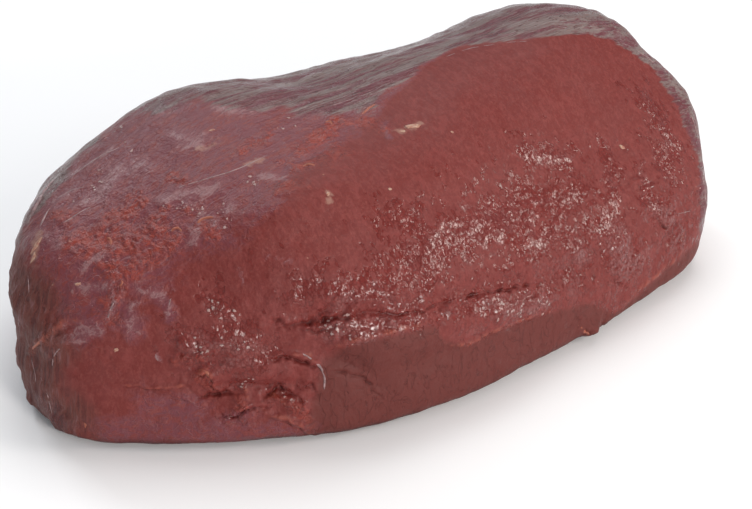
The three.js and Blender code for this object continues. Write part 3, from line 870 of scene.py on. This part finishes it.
class MEATJOINT_OT_flesh(bpy.types.Operator):
    """Dress the solid joint with flesh relief, silverskin and torn patches"""
    bl_idname = "meatjoint.flesh"
    bl_label = "Flesh and silverskin"

    def execute(self, context):
        look, stage = context.scene.joint_flesh, context.scene.joint_stage
        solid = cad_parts[SOLID]
        guide_mesh = subdivided_copy(solid, GUIDE_LEVELS)
        sight = Sight(stage, guide_mesh)
        mesh = subdivided_copy(solid, ROUGH_LEVELS)
        skin = Skin(mesh, sight)
        refine(mesh, sight.tree, (self.facing(skin, sight) > -0.12) & (skin.points[:, 2] > 1 * MM))
        skin = Skin(mesh, sight)
        busy = [(line, 3.0 * width + 1) for line, width, _, _ in SPLITS] + [(line, 2.0) for line in SCRATCHES]
        busy += [(line, 1.5 * width + 0.5) for line, width, _ in RIMS] + TORN + WET
        refine(mesh, sight.tree, skin.strokes(busy, 0.0) > 0.5)
        skin = Skin(mesh, sight)
        bpy.data.meshes.remove(guide_mesh)

        masks = self.masks(skin, sight)
        self.relief(skin, masks, look)
        for name, values in masks.items():
            lay(values, mesh, name)
        mesh.name = "joint_flesh"
        piece = add_piece("joint_flesh", mesh, flesh_finish(look))
        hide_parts(SOLID)
        return {"FINISHED"}

    def facing(self, skin, sight):
        """How far each vertex faces the camera, from -1 to 1."""
        away = np.array(sight.eye) - skin.points
        return (away * skin.normals).sum(1) / np.linalg.norm(away, axis=1)

    def masks(self, skin, sight):
        """Where each look of the surface is, from 0 to 1 at each vertex."""
        x, _, z = skin.points.T / MM
        across, down = sight.pictured(skin.points)
        facing = self.facing(skin, sight)
        soft = np.interp(across, [200, 360, 425, 640, 690], [16, 16, 2.5, 3, 7])
        over = self.beyond(SILVERSKIN_EDGE, across, down) + soft * lumps(skin.points, (12, 12, 12))
        turned = step_between(-facing, -0.02, 0.12) * step_between(z, 10, 18)
        silver = np.maximum(step_between(over / soft, -1, 1), turned)
        silver *= step_between(z + 8 * lumps(skin.points, (14, 14, 14), 3.0), 4, 14)
        blur = np.interp(across, [260, 300, 395, 430], [70, 40, 10, 4])
        covered = self.beyond(MEMBRANE_EDGE, across, down) / blur + 0.3 * lumps(skin.points, (18, 9, 9), 22.0)
        unseen = step_between(-facing, 0.05, 0.3)
        skinned = np.maximum(step_between(covered, -1, 0.4), unseen)
        patchy = lumps(skin.points, (30, 16, 12), 12.0)
        dried = step_between(-x + 6 * lumps(skin.points, (9, 9, 9), 5.0), 116, 128)
        dried *= step_between(-z, -62, -48)
        under = -self.beyond(LOWER_EDGE, across, down) + 2 * lumps(skin.points, (8, 8, 8), 2.0)
        lower = step_between(under, -1, 5) * step_between(-skin.normals[:, 1], 0.1, 0.6)
        scraps = unseen * step_between(lumps(skin.points, (17, 12, 9), 31.0), 0.38, 0.62)
        damp = 0.2 * step_between(across, 380, 480) * step_between(down, 90, 190)
        damp += 0.09 * step_between(across, 190, 260) * step_between(down, 170, 220)
        return {
            "silverskin": silver * (1 - 0.9 * scraps),
            "bare": np.maximum(skin.strokes(BARE), 0.6 * unseen * step_between(patchy, 0.1, 0.5)),
            "milky": np.maximum(skin.strokes(MILKY), unseen * step_between(-patchy, 0.2, 0.5)),
            "mauve": np.maximum(skin.strokes(MAUVE), skinned * (1 - dried)),
            "film": skin.strokes(FILM),
            "torn": np.maximum(skin.strokes(TORN, 0.5), 0.5 * scraps),
            "wet": np.maximum(skin.strokes(WET, 0.5), damp * (1 - unseen)) * (1 - 0.8 * lower),
            "fatty": skin.strokes(FATTY, 0.6),
            # beads of moisture, whose tops get painted glints
            "beads_with_painted_glints": skin.strokes(BEADS, 0.5),
            "gloss": skin.strokes(GLOSS, 0.6),
            "bunched": skin.strokes(BUNCHED),
            "lower": lower,
            # painted contact shadow, from about 5 mm above the floor down
            "painted_contact_shadow": step_between(1.3 * lumps(skin.points, (16, 16, 16), 41.0) - z, -5.5, -1),
            "dried": dried,
        }

    def beyond(self, edge, across, down):
        """How far, in pixels, places in the picture are above an edge line."""
        edge_x, edge_y = (np.array(v, float) for v in zip(*edge))
        slope = np.interp(across, edge_x, np.gradient(edge_y, edge_x))
        return (np.interp(across, edge_x, edge_y) - down) / np.sqrt(1 + slope ** 2)

    def relief(self, skin, masks, look):
        """Raises and lowers the surface, and adds the masks of the rims and of the painted shade in the
        creases.
        """
        points = skin.points
        wet = masks["wet"]
        height = 0.5 * lumps(points, (26, 22, 22)) + 0.3 * lumps(points, (10, 9, 9), 4.0)
        height += 0.24 * lumps(points, (4, 4.5, 4.5), 14.0)
        soaked = np.flatnonzero(wet > 0.05)
        cells = pebbles(points[soaked], (1.7, 2.1, 2.1), 6.0)
        height[soaked] += wet[soaked] * (cells - 0.4) * 1.3 * look.pebble_height / MM
        height += wet * 0.25 * lumps(points, (6, 6, 6), 16.0)
        ragged = np.flatnonzero(masks["torn"] > 0.05)
        rough = np.abs(lumps(points[ragged], (6, 5, 5), 9.0))
        rough += np.abs(lumps(points[ragged], (2.4, 2.2, 2.2), 19.0))
        height[ragged] += masks["torn"][ragged] * look.torn_height / MM * (1.5 * rough - 0.5)
        bunched = masks.pop("bunched")
        folded = np.flatnonzero(bunched > 0.05)
        folds = np.abs(lumps(points[folded], (9, 5, 6), 25.0))
        folds += 0.6 * np.abs(lumps(points[folded], (3.6, 3, 3), 29.0))
        height[folded] += bunched[folded] * (1.5 * folds - 0.5)
        height += masks["mauve"] * (
            0.35 * np.abs(lumps(points, (14, 4, 4), 33.0)) + 0.2 * lumps(points, (6, 2.4, 2.4), 35.0))
        height += masks["silverskin"] * (0.35 + 0.5 * lumps(points, (34, 4.5, 4.5), 1.0))
        height += masks["film"] * 0.2 + masks["dried"] * (
            0.9 * lumps(points, (8, 3.5, 12), 7.0) + 0.9 * np.abs(lumps(points, (5, 6, 5), 17.0)))
        skin.height = height * MM
        for place, reach, rise in KNOBS:
            skin.knob(place, reach, rise)
        for places, width, rise in FILLS:
            skin.ridge(places, width, rise)
        # painted shade along the splits and fine cracks
        masks["crease"] = np.zeros(len(points))
        masks["rim"] = np.zeros(len(points))
        for places, width, depth, lip in SPLITS + [(line, 0.5, 0.45, 0.1) for line in SCRATCHES]:
            near, mark = skin.split(places, width, depth, lip)
            masks["crease"][near] = np.maximum(masks["crease"][near], mark)
        for places, width, rise in RIMS:
            near, mark = skin.ridge(places, width, rise)
            masks["rim"][near] = np.maximum(masks["rim"][near], mark)
        skin.apply()


def strand_curve(name, lines, thickness):
    """Tapered tubes along surface lines, as one curve object's data."""
    curve = bpy.data.curves.new(name, "CURVE")
    curve.dimensions = "3D"
    curve.bevel_depth = thickness / 2
    curve.bevel_resolution = 1
    curve.resolution_u = 2
    curve.use_fill_caps = True
    for points, size, proud in lines:
        places = np.array([p for p, _ in points])
        normals = np.array([n for _, n in points])
        for _ in range(2):
            places[1:-1] = (places[:-2] + 2 * places[1:-1] + places[2:]) / 4
        places += normals * (size * thickness / 2 * (proud - 0.85))
        spline = curve.splines.new("POLY")
        spline.points.add(len(places) - 1)
        for i, place in enumerate(places):
            share = i / (len(places) - 1)
            taper = max(0.12, math.sin(math.pi * (0.04 + 0.92 * share)) ** 0.7)
            spline.points[i].co = (*place, 1)
            spline.points[i].radius = size * taper * (0.8 + 0.5 * abs(noise.noise(Vector(place) / (2 * MM))))
    return curve


class MEATJOINT_OT_sinews(bpy.types.Operator):
    """Lay pale strands of sinew over the flesh, in front and behind"""
    bl_idname = "meatjoint.sinews"
    bl_label = "Sinews"

    def execute(self, context):
        look = context.scene.joint_sinew
        sight = flesh_sight(context.scene)
        lines = [(sight.line(places, 4.0), size, proud) for places, size, proud in SINEWS]
        draw = random.Random(7)
        for _ in range(14):
            along, up = draw.uniform(-0.11, 0.09), draw.uniform(0.02, 0.06)
            slope, length = draw.uniform(-0.35, 0.35), draw.uniform(0.012, 0.035)
            points = []
            for i in range(12):
                step = length * i / 11
                sway = 0.6 * MM * math.sin(i * 0.9 + along * 90)
                start = Vector((along + step, 0.3, up + slope * step + sway))
                hit, normal, _, _ = sight.tree.ray_cast(start, Vector((0, -1, 0)))
                if hit is not None:
                    points.append((hit, normal))
            lines.append((points, draw.uniform(0.4, 0.9), 0.25))
        add_piece("joint_sinews", strand_curve("joint_sinews", lines, look.thickness), sinew_finish(look))
        return {"FINISHED"}


class MEATJOINT_OT_shreds(bpy.types.Operator):
    """Lay orange shreds of torn membrane and flesh"""
    bl_idname = "meatjoint.shreds"
    bl_label = "Shreds"

    def execute(self, context):
        look = context.scene.joint_sinew
        sight = flesh_sight(context.scene)
        lines = [(sight.line(places, 2.5), size, proud) for places, size, proud in SHREDS]
        add_piece("joint_shreds", strand_curve("joint_shreds", lines, look.thickness), shred_finish(look))
        return {"FINISHED"}


class MEATJOINT_OT_fat(bpy.types.Operator):
    """Press small flecks of fat into the surface"""
    bl_idname = "meatjoint.fat"
    bl_label = "Fat flecks"

    def execute(self, context):
        look = context.scene.joint_sinew
        sight = flesh_sight(context.scene)
        shape = bmesh.new()
        for place, length, width, turn in FLECKS:
            spot, normal = sight.point(place)
            angle = math.radians(turn)
            along = sight.right * math.cos(angle) + sight.up * math.sin(angle)
            along = (along - normal * along.dot(normal)).normalized()
            across = normal.cross(along)
            basis = Matrix((along, across, normal)).transposed().to_4x4()
            made = bmesh.ops.create_icosphere(shape, subdivisions=3, radius=1.0)["verts"]
            for vertex in made:
                shift = noise.noise(vertex.co * 1.7 + spot / MM) * 0.45
                vertex.co *= 1 + shift + noise.noise(vertex.co * 4 + spot / MM) * 0.2
            bmesh.ops.scale(shape, verts=made, vec=(length / 2 * MM, width / 2 * MM, 0.14 * width * MM))
            bmesh.ops.transform(shape, verts=made, matrix=Matrix.Translation(spot) @ basis)
        mesh = bpy.data.meshes.new("joint_fat")
        shape.to_mesh(mesh)
        shape.free()
        add_piece("joint_fat", mesh, fat_finish(look))
        return {"FINISHED"}


class MEATJOINT_OT_stage(bpy.types.Operator):
    """Lay the pale floor, hang the soft lights and set the camera"""
    bl_idname = "meatjoint.stage"
    bl_label = "Floor, lights and camera"

    def execute(self, context):
        stage = context.scene.joint_stage
        shape = bmesh.new()
        bmesh.ops.create_grid(shape, x_segments=1, y_segments=1, size=4.0)
        mesh = bpy.data.meshes.new("floor")
        shape.to_mesh(mesh)
        shape.free()
        material = bpy.data.materials.new("pale_floor")
        material.use_nodes = True
        surface = material.node_tree.nodes["Principled BSDF"].inputs
        surface["Base Color"].default_value = (*stage.floor, 1)
        surface["Roughness"].default_value = 0.6
        mesh.materials.append(material)
        floor = bpy.data.objects.new("floor", mesh)
        context.collection.objects.link(floor)

        self.softbox("overhead", (0.25, 0.34, 0.95), 0.7, 0.5, 4.5, (1.0, 0.99, 0.98))
        self.softbox("window_right", (0.78, -0.52, 0.48), 0.26, 0.24, 3.0, (1.0, 0.93, 0.86))
        self.softbox("window_front", (0.08, -0.95, 0.38), 0.26, 0.24, 5.4, (1.0, 0.96, 0.92))
        self.softbox("back", (-0.20, 0.92, 0.75), 0.26, 0.16, 2.8, (0.9, 0.95, 1.0))
        world = bpy.data.worlds.new("studio")
        world.use_nodes = True
        background = world.node_tree.nodes["Background"]
        background.inputs["Color"].default_value = (0.93, 0.96, 1.0, 1)
        background.inputs["Strength"].default_value = 0.44
        context.scene.world = world

        camera = bpy.data.cameras.new("camera")
        camera.lens = stage.lens
        camera.sensor_width = SENSOR
        camera.clip_start = 0.01
        eye, right, up, back = camera_axes(stage)
        holder = bpy.data.objects.new("camera", camera)
        turn = Matrix((right, up, back)).transposed()
        holder.matrix_world = Matrix.Translation(eye) @ turn.to_4x4()
        context.collection.objects.link(holder)
        context.scene.camera = holder
        context.scene.view_settings.view_transform = "Standard"
        return {"FINISHED"}

    def softbox(self, name, place, width, height, power, colour):
        """A rectangular soft light aimed at the joint; power in watts."""
        light = bpy.data.lights.new(name, "AREA")
        light.shape = "RECTANGLE"
        light.size, light.size_y, light.energy, light.color = width, height, power, colour
        lamp = bpy.data.objects.new(name, light)
        lamp.location = place
        lamp.rotation_euler = (Vector((0, 0, 0.03)) - Vector(place)).to_track_quat("-Z", "Y").to_euler()
        bpy.context.collection.objects.link(lamp)


class MEATJOINT_PT_panel(bpy.types.Panel):
    """Lists the pieces of the joint in the sidebar"""
    bl_label = "Meat joint"
    bl_idname = "MEATJOINT_PT_panel"
    bl_space_type = "VIEW_3D"
    bl_region_type = "UI"
    bl_category = "Meat joint"

    def draw(self, context):
        for step in STEPS:
            self.layout.operator(step.bl_idname)


STEPS = (
    MEATJOINT_OT_flesh, MEATJOINT_OT_sinews, MEATJOINT_OT_shreds, MEATJOINT_OT_fat, MEATJOINT_OT_stage)
CLASSES = (FleshSettings, SinewSettings, StageSettings, *STEPS, MEATJOINT_PT_panel)


def register():
    for item in CLASSES:
        bpy.utils.register_class(item)
    bpy.types.Scene.joint_flesh = PointerProperty(type=FleshSettings)
    bpy.types.Scene.joint_sinew = PointerProperty(type=SinewSettings)
    bpy.types.Scene.joint_stage = PointerProperty(type=StageSettings)


def unregister():
    del bpy.types.Scene.joint_flesh, bpy.types.Scene.joint_sinew, bpy.types.Scene.joint_stage
    for item in reversed(CLASSES):
        bpy.utils.unregister_class(item)


def main():
    register()
    bpy.ops.meatjoint.flesh()
    bpy.ops.meatjoint.sinews()
    bpy.ops.meatjoint.shreds()
    bpy.ops.meatjoint.fat()
    bpy.ops.meatjoint.stage()


if __name__ == "__main__":
    main()
